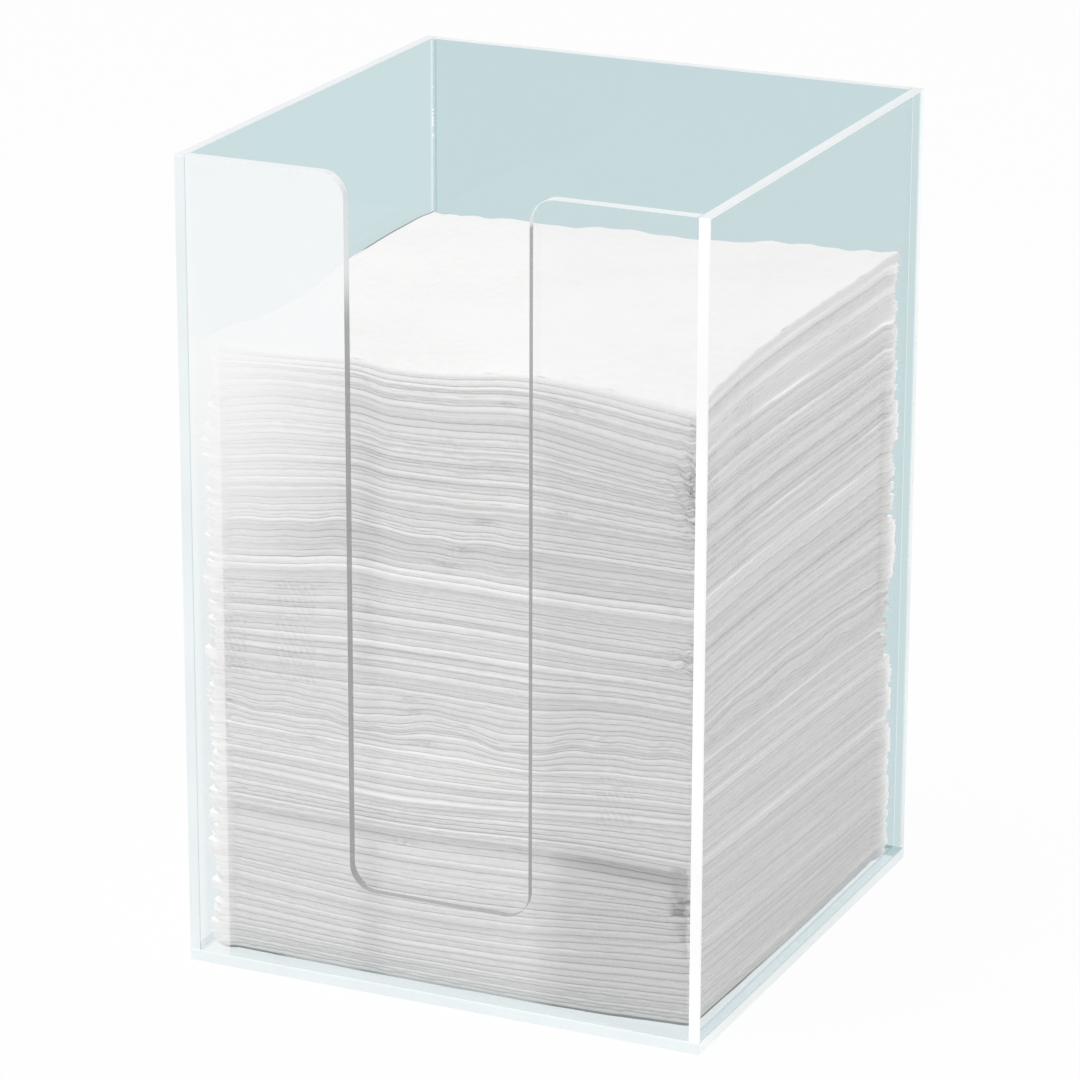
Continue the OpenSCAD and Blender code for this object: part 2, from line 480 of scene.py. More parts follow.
# The least part of a flat face's normal along one axis: less belongs to a rounded arris
FLAT = 0.98


def edge_kind(which, middle, slack):
    """What a narrow face of a sheet is, by the place of its middle."""
    if which in ("front", "back") and abs(middle.x) > INNER_X - slack:
        return JOINT
    if which != "base" and middle.z < BASE_HIGH.z + slack:
        return JOINT
    return SLOT_EDGE if which == "front" and middle.z < RIM - slack else EDGE


def rounded_kind(which, face):
    """What a face is once the arrises are rounded."""
    middle, normal = face.calc_center_median(), face.normal
    largest = max(range(3), key=lambda k: abs(normal[k]))
    thin, slack = THIN_AXIS[which], 0.5 * MM
    at_back = middle.y > INNER_X + SHEET_T - slack
    if which == "right" and at_back and normal.x < FLAT:
        return FAR_END if normal.x > -0.5 else JOINT
    if which != "base" and largest == 2 and middle.z > RIM - slack:
        return RIM_EDGE
    if which == "left" and at_back and largest != thin:
        return JOINT
    if which == "base" and normal.x > 0.5 and middle.x > INNER_X:
        return FLOOR_EDGE
    if face.material_index == CLEAR and not (largest == thin and abs(normal[thin]) > FLAT):
        return JOINT if which in ("left", "back") else edge_kind(which, middle, MM)
    return face.material_index


def sheet_mesh(which, rounding):
    """The sheet of a node as a clean solid: its loose triangles merged, its flat faces made whole and its
    arrises rounded, with a material for each kind of face."""
    bm = bmesh.new()
    bm.from_mesh(NODES[which + "_panel"].data)
    bmesh.ops.remove_doubles(bm, verts=bm.verts, dist=0.001 * MM)
    bmesh.ops.dissolve_limit(bm, angle_limit=math.radians(1), verts=bm.verts, edges=bm.edges)
    bmesh.ops.recalc_face_normals(bm, faces=bm.faces)
    for face in bm.faces:
        flat = abs(face.normal[THIN_AXIS[which]]) > 0.9
        face.material_index = CLEAR if flat else edge_kind(which, face.calc_center_median(), 0.1 * MM)
    sharp = [e for e in bm.edges if len(e.link_faces) == 2 and e.calc_face_angle() > math.radians(35)]
    bmesh.ops.bevel(bm, geom=sharp, offset=rounding, offset_type="OFFSET", affect="EDGES", segments=2,
                    profile=0.5, material=-1, clamp_overlap=True)
    for face in bm.faces:
        face.normal_update()
        face.material_index = rounded_kind(which, face)
    return bm


class HOLDER_OT_sheets(bpy.types.Operator):
    """Build the five clear sheets with their polished edges"""

    bl_idname = "holder.sheets"
    bl_label = "Build the sheets"

    def execute(self, context):
        look = context.scene.holder_sheets
        faces = {
            "base": clear_finish("base_clear_sheet", look.base_tint),
            "left": clear_finish("left_clear_sheet", look.left_tint, shine=0.25),
            "right": clear_finish("side_clear_sheet", look.side_tint, shine=0.3),
            "front": clear_finish("front_clear_sheet", look.clear_tint, look.painted_reflection),
            "back": clear_finish("deep_clear_sheet", look.deep_tint, shine=0.4)}
        # Painted light: the polished edges glow with emission; the right sheet's edges, which face the
        # light, are painted paler, and the rim, on which more light falls from above, darker and with less
        # glow
        edge = edge_finish("polished_edge", look.edge_colour, look.edge_glow)
        edges = {"right": edge_finish("bright_edge", look.right_colour, look.edge_glow)}
        joint = joint_finish("cemented_joint", look.joint_tint)
        deep_joint = joint_finish("deep_joint", look.deep_tint)
        left_joint = joint_finish("left_joint", look.left_tint)
        joints = {"back": deep_joint, "right": deep_joint, "left": left_joint}
        # Painted shade: the edge round the slot is dark grey where napkins stand behind it
        slot = edge_finish("slot_edge", look.slot_shade_colour, 0.05, True)
        rim = edge_finish("rim", look.rim_colour, 0.4 * look.edge_glow)
        far_end = far_end_finish("far_end", look.far_tint)
        floor_edge = edge_finish("floor_edge", look.floor_colour, 0.18)
        for which in SHEETS:
            node = which + "_panel"
            materials = [faces[which], edges.get(which, edge), slot, joints.get(which, joint), rim, far_end,
                         floor_edge]
            rounding = look.edge_round * (0.4 if which == "front" else 1.0)
            piece = add_piece(which + "_sheet", sheet_mesh(which, rounding), materials, BODY_OF[node],
                              (node,))
            # The walls take next to no light from the napkins
            piece.visible_shadow = piece.visible_diffuse = which == "base"
        return {"FINISHED"}


class HOLDER_OT_seams(bpy.types.Operator):
    """Finish the cement seams and scatter the air bubbles that are trapped in them"""

    bl_idname = "holder.seams"
    bl_label = "Build the seams"

    def execute(self, context):
        cement = cement_finish()
        for node in SEAMS:
            mesh = NODES[node].data
            mesh.materials.clear()
            mesh.materials.append(cement)
        bubbles = bubble_finish()
        scatter = np.random.default_rng(context.scene.holder_napkins.seed)
        inner = INNER_X - 0.35 * MM
        for name, corner, count in (("back_left", (-1, 1), 40), ("back_right", (1, 1), 12),
                                    ("front_left", (-1, -1), 12), ("front_right", (1, -1), 12)):
            bm = bmesh.new()
            for k in range(count):
                height = scatter.uniform(BASE_HIGH.z + 4 * MM, RIM - 2 * MM)
                size = scatter.uniform(0.06, 0.12) * MM
                if name == "back_left" and k % 2 == 0:
                    # A cluster over the napkins and a few single bubbles under it
                    cluster = k % 8
                    height = scatter.uniform(186.5, 191.5) if cluster else scatter.normal(184.0, 0.4)
                    height *= MM
                    size = scatter.uniform(0.15, 0.26) * MM
                places = [sign * (inner - scatter.uniform(0, 0.12) * MM) for sign in corner]
                at = Matrix.Translation((*places, min(height, RIM - MM)))
                bmesh.ops.create_icosphere(bm, subdivisions=1, radius=size, matrix=at)
            add_piece("bubbles_" + name, bm, [bubbles], "holder", (), True)
        return {"FINISHED"}


# The stack's shape, in millimetres from the front left bottom corner of the box


SEGMENTS = {"front": 104, "right": 76, "back": 52, "left": 52}
STATIONS_X = np.array([9, 28, 46, 56, 71, 91, 109, 121, 136], float)
# Heights of the lines between napkins along the front, by how many napkins lie below them
FRONT_HEIGHTS = {
    0: [3.15, 3.15, 3.15, 3.15, 3.15, 3.15, 3.4, 4.0, 4.8],
    11: [23.0, 21.8, 20.8, 20.5, 20.8, 21.9, 24.0, 25.4, 26.6],
    22: [43.0, 43.0, 43.0, 43.0, 43.4, 44.4, 44.8, 44.6, 44.2],
    29: [52.6, 52.0, 51.2, 51.0, 51.8, 53.6, 55.4, 56.4, 57.4],
    36: [63.2, 63.2, 63.0, 63.2, 63.2, 63.6, 65.5, 66.6, 67.2],
    42: [71.8, 71.6, 70.6, 71.4, 72.8, 71.4, 75.2, 76.0, 76.0],
    48: [80.5, 80.8, 81.6, 82.0, 82.0, 82.0, 84.0, 84.6, 84.3],
    57: [94.0, 95.5, 97.0, 97.0, 97.3, 97.3, 96.8, 97.0, 97.2],
    66: [107.8, 110.0, 112.4, 111.6, 111.5, 111.3, 111.5, 111.8, 112.0],
    75: [122.8, 125.4, 127.4, 126.2, 126.2, 127.2, 127.2, 127.1, 127.0],
    90: [149.6, 152.6, 152.6, 151.0, 151.4, 152.9, 150.5, 148.7, 147.0],
    97: [161.3, 161.8, 162.8, 161.8, 162.4, 164.5, 164.0, 162.7, 161.2],
}
# How far the same lines stand over their front ends along the right side, half way back and at the back
RIGHT_RISES = {
    0: (-1.45, -1.65), 11: (-3.2, -5.5), 22: (-2.5, -4.8), 36: (-1.2, -4.0), 48: (1.5, -2.5),
    57: (1.5, 0.0), 66: (2.0, 1.5), 75: (2.8, 2.6), 90: (4.2, 2.4), 97: (7.0, 6.0),
}
TOP_BACK = [163.3, 163.9, 164.0, 165.3, 165.0, 165.8, 167.4, 167.3, 168.6]
TOP_LEFT = ([4, 19, 31, 45, 57, 76, 85, 106, 127, 133],
            [161.8, 162.4, 161.5, 160.8, 160.6, 162.4, 163.4, 164.1, 164.2, 164.1])
TOP_RIGHT = ([4, 9, 19, 31, 50, 70, 89, 110, 131],
             [161.2, 163.6, 165.2, 166.6, 167.7, 168.2, 168.1, 168.0, 168.6])
COUNTS = list(FRONT_HEIGHTS)
PACKS = (22, 14, 12, 18, 24, 7)
NAPKINS = sum(PACKS)
PACK_FEET = [sum(PACKS[:k]) for k in range(len(PACKS))]
FRONT_Y, BACK_Y, LEFT_X, RIGHT_X = 4.3, 131.0, 9.0, 135.9
# The middle of the box, the least height of paper over the base and the room between the walls
BOX_MIDDLE, BASE_TOP, WALL_ROOM = 70.0, 3.03, (3.35, 136.6)
HALF_SIDE = 63.5
# How dark the plain paper of a napkin's faces is
PLAIN_SHADE = 0.05


def ramp(value, start, span):
    """0 up to the start, 1 from a span further on, and straight between. A span below zero falls."""
    return np.clip((value - start) / span, 0, 1)


def hump(value, middle, width):
    """1 at the middle, and falling off like a bell."""
    return np.exp(-(((value - middle) / width) ** 2))


def smooth_line(places, stations, values):
    """Piecewise curve through the stations without overshoot, by Hermite pieces with held-in slopes."""
    stations = np.asarray(stations, float)
    values = np.asarray(values, float)
    steps = np.diff(values) / np.diff(stations)
    slopes = np.concatenate([[steps[0]], (steps[:-1] + steps[1:]) / 2, [steps[-1]]])
    slopes[1:-1][steps[:-1] * steps[1:] <= 0] = 0
    places = np.clip(places, stations[0], stations[-1])
    k = np.clip(np.searchsorted(stations, places) - 1, 0, len(stations) - 2)
    width = stations[k + 1] - stations[k]
    t = (places - stations[k]) / width
    return ((2 * t**3 - 3 * t**2 + 1) * values[k] + (t**3 - 2 * t**2 + t) * width * slopes[k]
            + (3 * t**2 - 2 * t**3) * values[k + 1] + (t**3 - t**2) * width * slopes[k + 1])


def plan_shares(x, y):
    """How far along the front, and how far back, places lie: from 0 to 1."""
    return ramp(x, STATIONS_X[0], STATIONS_X[-1] - STATIONS_X[0]), ramp(y, FRONT_Y, BACK_Y - FRONT_Y)


def top_surface(x, y):
    """Height of the top of the stack: a patch between its four measured edges."""
    u, v = plan_shares(x, y)
    front = smooth_line(x, STATIONS_X, FRONT_HEIGHTS[NAPKINS])
    back = smooth_line(x, STATIONS_X, TOP_BACK)
    left = smooth_line(y, *TOP_LEFT)
    right = smooth_line(y, *TOP_RIGHT)
    flat_front = (1 - u) * FRONT_HEIGHTS[NAPKINS][0] + u * FRONT_HEIGHTS[NAPKINS][-1]
    flat_back = (1 - u) * TOP_BACK[0] + u * TOP_BACK[-1]
    return (1 - v) * (front - flat_front) + v * (back - flat_back) + (1 - u) * left + u * right


def level(count, x, y):
    """Height of the line over the lowest napkins, as many as count, at places x, y."""
    k = max(j for j, c in enumerate(COUNTS) if c <= min(count, COUNTS[-2]))
    low, high = (smooth_line(x, STATIONS_X, FRONT_HEIGHTS[c]) for c in COUNTS[k:k + 2])
    t = (count - COUNTS[k]) / (COUNTS[k + 1] - COUNTS[k])
    u, v = plan_shares(x, y)

    def rise(n):
        """Parabola through the front end, the rise half way back and the rise at the back."""
        half, full = (np.interp(n, list(RIGHT_RISES), rises) for rises in zip(*RIGHT_RISES.values()))
        return u * (4 * half * v * (1 - v) + full * v * (2 * v - 1))

    top = top_surface(x, y) - smooth_line(x, STATIONS_X, FRONT_HEIGHTS[NAPKINS]) - rise(NAPKINS)
    droop = 0.8 * ramp(y, 124, 12) ** 1.5
    # The front left corner of the top napkin curls up
    curl = 2.0 * hump(x, 4, 7) * hump(y, 4, 15) * (count == NAPKINS)
    return low * (1 - t) + high * t + rise(count) + (count / NAPKINS) ** 2.5 * (top - droop) + curl


def rumple(count, x, y):
    """Waves of the two rumpled packs, which shift a little from napkin to napkin, and the crumpled front
    right corner."""
    third = hump(count, 41.5, 4.2)
    fifth = hump(count, 71, 4.5) * np.clip((97 - x) / 8, 0.05, 1)
    phase = 0.33 * count
    slow = np.sin(x / 5.2 + phase) * np.cos(y / 17 - 0.5 * phase)
    quick = np.sin(x / 2.1 - 0.8 * phase + y / 5.5)
    side = np.sin(y / 5.2 + phase) * ramp(x, 110, 26)
    waves = 0.5 * third * (slow + 0.5 * quick + 0.5 * side) + 0.36 * fifth * (slow + 0.6 * quick)
    crushed = hump(count, 86, 8) + 0.7 * hump(count, 58, 3)
    corner = hump(x, 136, 6) * hump(y, 4, 6)
    return waves + 0.75 * crushed * corner * np.sin(1.5 * x + 1.1 * count + 0.8 * y)


def periodic_noise(scatter, size, waves, rows=1):
    """Smooth noise round a closed outline, about as many waves as given, between about -1 and 1."""
    turns = np.arange(size) / size * 2 * math.pi
    out = np.zeros((rows, size))
    for row in range(rows):
        for _ in range(7):
            n = max(1, int(scatter.normal(waves, waves / 3)))
            out[row] += np.sin(n * turns + scatter.uniform(0, 2 * math.pi)) * scatter.uniform(0.2, 0.6)
    return out


def outline(width, depth, radius=1.6):
    """Points round a napkin from its front left corner, as x and y from that corner, and which side each
    lies on, with more of them near the corners."""
    cut = (1 - math.sqrt(0.5)) * radius
    xs, ys, sides = [], [], []
    for side, length in (("front", width), ("right", depth), ("back", width), ("left", depth)):
        t = np.arange(SEGMENTS[side]) / SEGMENTS[side]
        t = 0.55 * t + 0.45 * (1 - np.cos(math.pi * t)) / 2
        along = cut + t * (length - 2 * cut)
        near = np.clip(radius - np.minimum(along, length - along), 0, radius)
        inset = radius - np.sqrt(radius**2 - near**2)
        x, y = {"front": (along, inset), "right": (width - inset, along),
                "back": (width - along, depth - inset), "left": (inset, depth - along)}[side]
        xs.append(x)
        ys.append(y)
        sides += [side] * len(t)
    return np.concatenate(xs), np.concatenate(ys), np.array(sides)


# Rings of the mesh from the middle of the upper face round the edge to the middle of the lower one.
# A fold is two rounded lobes: depth in millimetres and share of the height for each ring.
FOLD = np.array([
    [0.34, 0.995], [0.1, 0.91], [0.0, 0.75], [0.07, 0.6], [0.22, 0.51],
    [0.07, 0.42], [0.0, 0.27], [0.1, 0.1], [0.34, 0.005],
])
# Depths of the same rings where both lobes are pressed into one
ROUND = np.array([0.46, 0.2, 0.07, 0.01, 0.0, 0.01, 0.07, 0.2, 0.46])
# How deep a pucker presses each of these rings, as a share
PUCKER_DEPTHS = np.array([0.1, 0.4, 0.75, 0.3, 0.6, 0.2, 0.1, 0.4, 0.3])
# Loose leaves are thin tongues: depth in millimetres behind their tips and share of the height.
LEAVES = np.array([
    [0.3, 1.0], [0.0, 0.93], [0.5, 0.8], [0.0, 0.67], [0.5, 0.53],
    [0.0, 0.4], [0.5, 0.27], [0.0, 0.12], [0.3, 0.0],
])
# How far the front folds stand back, by how many napkins lie below them
DRIFT = ([0, 8, 20, 21.9, 22, 36, 36.1, 47, 48, 60, 65.9, 66, 74, 84, 89.9, 90, 97],
         [0.2, 0.0, 0.4, 0.5, -0.2, -0.15, 0.3, 0.1, -0.1, 0.05, -0.3, 0.5, 0.4, 0.2, 0.4, -0.2, -0.1])
# How far the loose leaves at the back stick out in millimetres, in the same way
BACK_REACH = ([2, 8, 9, 17, 18, 21, 23, 24, 31, 33, 39, 41, 46, 47, 55, 57, 66, 67, 72, 74, 90, 97],
              [4.5, 4.5, 4.8, 4.8, 5.4, 5.4, 2.0, 4.5, 4.5, 1.0, 1.2,
               2.4, 2.6, 5.2, 5.2, 3.4, 3.4, 5.0, 5.0, 3.6, 3.4, 2.6])
# Painted shade on the folds, 0 to 1, in the same way: packs are lighter on top, which stands out into the
# light, and darker below, which falls back into shade
PACK_SHADES = ([0, 8, 13, 19, 22, 31, 34, 36, 44, 47, 48, 52, 61, 65, 66, 70, 75, 85, 86, 89, 90, 93, 96],
         [0.85, 0.8, 0.8, 0.6, 0.65, 0.55, 0.45, 0.5, 0.55, 0.45, 0.65, 0.6,
          0.5, 0.4, 0.8, 0.75, 0.55, 0.55, 0.6, 0.7, 0.4, 0.4, 0.3])
# Painted lines of light and shade along the front, where folds catch the light or lie in shade: height at
# the middle of the slot in millimetres, how dark (light below zero) and half width in napkins
LINES = (
    (161.2, -0.4, 0.25), (160.3, -0.5, 0.3), (158.0, 0.5, 0.3), (156.6, -0.35, 0.3), (154.8, 0.35, 0.35),
    (153.8, -0.3, 0.25), (151.4, -0.8, 0.35), (149.9, 0.55, 0.5), (148.0, 0.5, 0.3), (146.4, -0.35, 0.25),
    (143.5, -0.6, 0.25), (142.0, -0.5, 0.25), (140.5, -0.9, 0.3), (139.2, 0.7, 0.4), (137.0, -0.5, 0.3),
    (134.5, 0.6, 0.4), (131.0, -0.6, 0.3), (128.2, -0.3, 0.3), (126.2, 0.3, 0.6), (121.5, -0.25, 0.3),
    (117.5, 0.5, 1.4), (113.0, -0.6, 0.3), (110.4, -0.4, 0.8), (107.5, 0.6, 0.35), (106.4, -0.6, 0.25),
    (105.0, 0.7, 0.4), (102.8, -0.4, 0.3), (100.0, 0.6, 0.35), (98.0, -0.7, 0.3), (95.2, 0.3, 0.3),
    (92.0, -0.7, 0.3), (90.4, 0.6, 0.35), (88.0, -0.7, 0.3), (86.5, 0.8, 0.4), (84.2, -0.3, 0.4),
    (79.4, -0.5, 0.4), (76.0, 0.35, 0.4), (74.0, -0.4, 0.3), (69.5, -0.4, 0.3), (67.0, 0.6, 0.4),
    (64.0, -0.8, 0.6), (61.0, -0.2, 0.3), (58.6, -0.3, 0.3), (56.0, 0.6, 0.4), (54.3, -0.4, 0.3),
    (52.5, -0.9, 0.35), (50.6, 0.35, 0.3), (49.0, -0.7, 0.3), (47.0, 0.7, 0.4), (45.5, -0.7, 0.25),
    (44.5, -0.6, 0.2), (43.2, 1.0, 0.45), (41.2, 0.45, 0.6), (39.6, -0.3, 0.25), (37.0, -0.6, 0.3),
    (34.8, 0.4, 0.3), (33.0, -0.4, 0.25), (30.0, 0.3, 0.3), (22.6, -0.5, 0.3), (20.0, 0.35, 0.4),
    (17.5, -0.5, 0.3), (14.0, -0.4, 0.3), (11.5, 0.3, 0.3), (8.2, 0.5, 0.35), (6.4, -0.4, 0.25),
)
# The same painted lines of light and shade along the right side, by height at its front end
SIDE_LINES = (
    (159.0, -0.6, 0.3), (157.0, 0.4, 0.4), (154.0, -0.6, 0.3), (150.0, 0.3, 0.4), (147.0, -0.5, 0.3),
    (140.0, -0.4, 0.3), (136.0, 0.3, 0.4), (128.5, 0.5, 0.4), (122.0, -0.6, 0.3), (117.0, -0.3, 0.3),
    (112.5, -0.6, 0.3), (104.0, -0.4, 0.3), (99.0, 0.4, 0.4), (93.0, -0.4, 0.3), (86.0, -0.4, 0.3),
    (79.0, 0.3, 0.4), (71.0, -0.4, 0.3), (62.0, -0.4, 0.3), (54.0, 0.35, 0.4), (47.0, -0.4, 0.3),
    (40.0, 0.3, 0.3), (33.0, -0.4, 0.3), (25.0, -0.3, 0.3), (17.0, 0.35, 0.4), (9.0, -0.4, 0.3),
)
# Small puckers in the folds: place along the front, height and half width
PUCKERS = (
    (72, 145, 2.0), (84, 141, 3.0), (100, 144, 2.0), (101, 131, 2.5), (87, 157.5, 2.0), (70, 114, 4.5),
    (47, 112.3, 3.0), (60, 77.5, 4.5), (62, 74, 3.5), (64, 67, 4.5), (58, 40, 3.5), (96, 163.5, 3.0),
    (104, 158, 1.5), (131, 110.5, 2.0), (130, 101, 2.0), (129, 96, 2.0), (80, 126, 3.0), (92, 122, 2.0),
    (74, 119, 3.5), (30, 150, 2.5), (41, 117, 2.5), (33, 63.5, 3.0), (112, 76, 3.5),
)
# How far out the rings of the flat faces lie, from the middle outwards, and those of the face on top
INNER = [0.3, 0.62, 0.9, 0.975]
TOP_INNER = [0.08, 0.16, 0.25, 0.34, 0.43, 0.52, 0.6, 0.68, 0.75, 0.82, 0.88, 0.93,
             0.965, 0.982, 0.9855, 0.992]


def napkin_shell(upper, lower):
    """A closed shell of rings with a fan at both ends, made by extruding a circle ring by ring. Each
    vertex carries its ring and its place round it, and is moved to the napkin's shape later."""
    count = sum(SEGMENTS.values())
    bm = bmesh.new()
    ring_of = bm.verts.layers.int.new("ring")
    place_of = bm.verts.layers.int.new("place")
    bmesh.ops.create_circle(bm, cap_ends=False, segments=count, radius=1.0)

    def tag(verts, ring):
        for v in verts:
            v[ring_of] = ring
            v[place_of] = round(math.atan2(v.co.y, v.co.x) / (2 * math.pi) * count) % count

    tag(bm.verts, 0)
    loop = bm.edges[:]
    for ring in range(1, upper + len(FOLD) + lower):
        made = bmesh.ops.extrude_edge_only(bm, edges=loop)
        verts = [g for g in made["geom"] if isinstance(g, bmesh.types.BMVert)]
        fresh = set(verts)
        loop = [g for g in made["geom"] if isinstance(g, bmesh.types.BMEdge)
                and g.verts[0] in fresh and g.verts[1] in fresh]
        bmesh.ops.translate(bm, verts=verts, vec=(0, 0, -1))
        tag(verts, ring)
    last = upper + len(FOLD) + lower - 1
    for ring, mark in ((0, last + 1), (last, last + 2)):
        edges = [e for e in bm.edges if e.is_boundary and e.verts[0][ring_of] == ring]
        cap = bmesh.ops.contextual_create(bm, geom=edges)["faces"]
        for v in bmesh.ops.poke(bm, faces=cap)["verts"]:
            v[ring_of] = mark
    bmesh.ops.recalc_face_normals(bm, faces=bm.faces)

    def turn(face):
        """Ring by ring and round each of them, because an extrusion adds its faces in no fixed order."""
        middle = face.calc_center_median()
        return math.atan2(middle.y, middle.x) - 100 * middle.z

    bm.faces.sort(key=turn)
    mesh = bpy.data.meshes.new("shell")
    bm.verts.index_update()
    rings = np.array([v[ring_of] for v in bm.verts])
    places = np.array([v[place_of] for v in bm.verts])
    for layer in ("ring", "place"):
        bm.verts.layers.int.remove(bm.verts.layers.int[layer])
    bm.to_mesh(mesh)
    bm.free()
    return mesh, rings, places


def napkin_edges(i, upper, lower, look):
    """What shapes napkin i, counted from the lowest: its outline, its loose leaves and folds, and for each
    ring of its shell how far in it lies and at what share of the napkin's height."""
    scatter = np.random.default_rng(1000 * look.seed + i)
    count = sum(SEGMENTS.values())
    top = i == NAPKINS - 1
    drift = np.interp(i, *DRIFT) + 0.3 * math.sin(1.3 * i) * math.sin(0.37 * i)
    left = LEFT_X + scatter.uniform(-0.3, 0.3) - 3.5 * top
    right = RIGHT_X + scatter.uniform(-0.35, 0.25) + 0.4 * top
    front = FRONT_Y + drift + scatter.uniform(-0.25, 0.35)
    back = BACK_Y + scatter.uniform(-0.4, 0.4) + 5.0 * top
    x, y, sides = outline(right - left, back - front, 0.7 if top else 1.6)
    x, y = x + left, y + front

    # Share of loose leaf at each place: the left and the back are open, the front and the right folded
    leafy = np.isin(sides, ("left", "back")).astype(float) * (not top)
    leafy = np.convolve(np.concatenate([leafy[-2:], leafy, leafy[:2]]), np.ones(5) / 5, "valid")

    lobe_noise = periodic_noise(scatter, count, 46, 3) * np.array([0.10, 0.06, 0.10])[:, None]
    lobe_noise = np.repeat(lobe_noise, (4, 1, 4), axis=0)
    lobe_noise[:4] += scatter.normal(0, 0.16)
    lobe_noise[5:] += scatter.normal(0, 0.16)
    # The folded corner at the front right is crumpled, and set back in the lowest pack but for a few ends
    to_corner = np.hypot(x - right, y - front)
    middle_height = level(i + 0.5, x, y)
    crushed = 0.12 + 0.9 * hump(i, 86, 9) + 0.6 * hump(i, 58, 3)
    crumple = np.exp(-to_corner / 3.0) * crushed
    crumples = periodic_noise(scatter, count, 90, len(FOLD))
    loose = hump(i, 16, 5.5)
    set_back = 2.8 * loose * scatter.uniform(0.0, 1) * hump(to_corner, 0, 4.5)
    short = scatter.choice([0.6, 1.5, 3.0, 4.5, 6.0])
    frayed = loose * ramp(x, right - short, 2.2) * (sides == "front")
    pucker = sum(hump(x, at, half) * hump(middle_height, height, 0.9) for at, height, half in PUCKERS)
    pucker = pucker * (sides == "front")
    split = scatter.choice([0.0, 0.15, 0.5, 1.0])
    fold_depth = (ROUND + split * (FOLD[:, 0] - ROUND))[:, None] + (0.4 + 0.6 * split) * lobe_noise
    fold_depth = fold_depth + 0.6 * crumple * crumples + set_back + 0.9 * frayed
    fold_depth = fold_depth + 0.3 * pucker * PUCKER_DEPTHS[:, None]
    leaf_noise = periodic_noise(scatter, count, 14, len(FOLD))
    shared = periodic_noise(scatter, count, 9)
    wander = 0.6 * math.sin(0.42 * i + 1.1) * math.sin(0.13 * i) + 0.35 * math.sin(0.95 * i)
    at_left = (look.leaf_length / MM - 0.7 + 0.25 * leaf_noise + 0.25 * shared + wander
               + scatter.normal(0, 0.25) - (2.0 if i > 90 else 1.2 if i > 84 else 0))
    at_back = np.interp(i, *BACK_REACH) + 0.3 * leaf_noise + 0.5 * shared + scatter.normal(0, 0.5)
    reach = np.where(sides == "left", at_left, at_back)
    corner_cut = 0.6 * ramp(y, 6.2, -1.2) * (sides == "left")
    depth = fold_depth * (1 - leafy) + (LEAVES[:, :1] - reach + corner_cut) * leafy
    share = FOLD[:, 1:] * (1 - leafy) + LEAVES[:, 1:] * leafy
    share = share + 0.8 * crumple * np.roll(crumples, 3, axis=0) * FOLD[:, 1:] * (1 - FOLD[:, 1:])

    flat = np.ones((1, count))
    insets = [(1 - keep) * HALF_SIDE * flat for keep in (*upper, *lower[::-1])]
    shares = [flat] * len(upper) + [np.clip(share, 0.005, 0.995)] + [0 * flat] * len(lower)
    return SimpleNamespace(
        i=i, top=top, scatter=scatter, left=left, right=right, front=front, back=back, x=x, y=y,
        sides=sides, leafy=leafy, to_corner=to_corner, crushed=crushed, loose=loose, frayed=frayed,
        pucker=pucker, shared=shared, reach=reach, fold=len(upper) + 2,
        keeps=np.array([*upper, *[1.0] * len(FOLD), *lower[::-1]])[:, None],
        insets=np.concatenate([*insets[:len(upper)], depth, *insets[len(upper):]]),
        shares=np.concatenate(shares))


def ring_places(n, look):
    """Places of the rings of a napkin's shell, in millimetres."""
    middle_x, middle_y = (n.left + n.right) / 2, (n.front + n.back) / 2
    half_x, half_y = (n.right - n.left) / 2, (n.back - n.front) / 2
    px = middle_x + (n.x - middle_x) * (1 - n.insets / half_x)
    py = middle_y + (n.y - middle_y) * (1 - n.insets / half_y)
    ragged = periodic_noise(np.random.default_rng(look.seed), len(n.x), 70)
    if n.top:
        px = px - 1.9 * ramp(py, n.front, n.back - n.front) * ramp(px, 40, -30)
        py = py + (0.15 * n.shared + 0.24 * ragged) * ramp(py, 128, 6)
    px, py = np.clip(px, *WALL_ROOM), np.clip(py, *WALL_ROOM)

    ends = []
    for count, side in ((n.i, 1), (n.i + 1, -1)):
        noise = np.random.default_rng(50000 + count)
        a, b, c = noise.uniform(0, 6.28, 3)
        height = level(count, px, py) + rumple(count, px, py)
        height += 0.07 * np.sin(px / noise.uniform(9, 15) + a)
        height += 0.06 * np.sin(py / noise.uniform(9, 15) + b)
        height += 0.04 * np.sin(px / 3.7 + py / 4.1 + c)
        pack_gap = 0.14 * (count in PACK_FEET[1:])
        room = look.gap / MM / 2 + pack_gap / 2 * (0.5 + 0.5 * np.sin(px / 13 + a))
        ends.append(np.maximum(height, BASE_TOP) + side * room)
    low, high = ends
    if n.top:
        high = high + 0.18 * ragged * ramp(py, 132, 3)
    return px, py, low + (high - low) * n.shares


